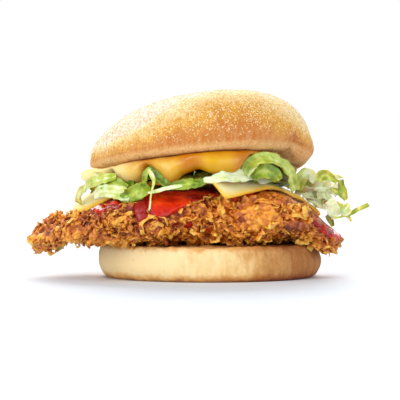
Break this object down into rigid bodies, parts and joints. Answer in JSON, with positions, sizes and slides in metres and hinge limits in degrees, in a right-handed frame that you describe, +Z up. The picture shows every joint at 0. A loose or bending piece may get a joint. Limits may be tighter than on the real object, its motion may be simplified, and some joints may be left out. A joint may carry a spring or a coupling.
{
  "type": "crispy chicken burger",
  "caption": "Crispy chicken burger: soft bun with a craggy fried chicken fillet, cheese slice, shredded lettuce, pickle, red sauce and cheese sauce.",
  "frame": {"origin": "centre of the bun heel's flat base, on the surface the burger stands on", "axes": "+X along the fillet's length, +Y to the back of the burger, +Z up"},
  "size_m": [0.1594, 0.1218, 0.0884],
  "materials": {
    "heel_bread": "matt pale bread, browned at the edges",
    "fried_crust": "rough golden brown fried crust",
    "red_sauce": "wet glossy sauce",
    "cheese_slice": "satin cheese",
    "lettuce": "fresh satin leaf",
    "pickle": "wet pickled skin",
    "cheese_sauce": "glossy thick sauce",
    "crown_bread": "matt golden bread with fine meal on top"
  },
  "bodies": {
    "root": {"bun_heel": "heel_bread", "chicken_fillet": "fried_crust", "red_sauce": "red_sauce", "cheese_slice": "cheese_slice", "lettuce": "lettuce", "pickle_slice": "pickle", "cheese_sauce": "cheese_sauce", "bun_crown": "crown_bread"}
  },
  "joints": []
}
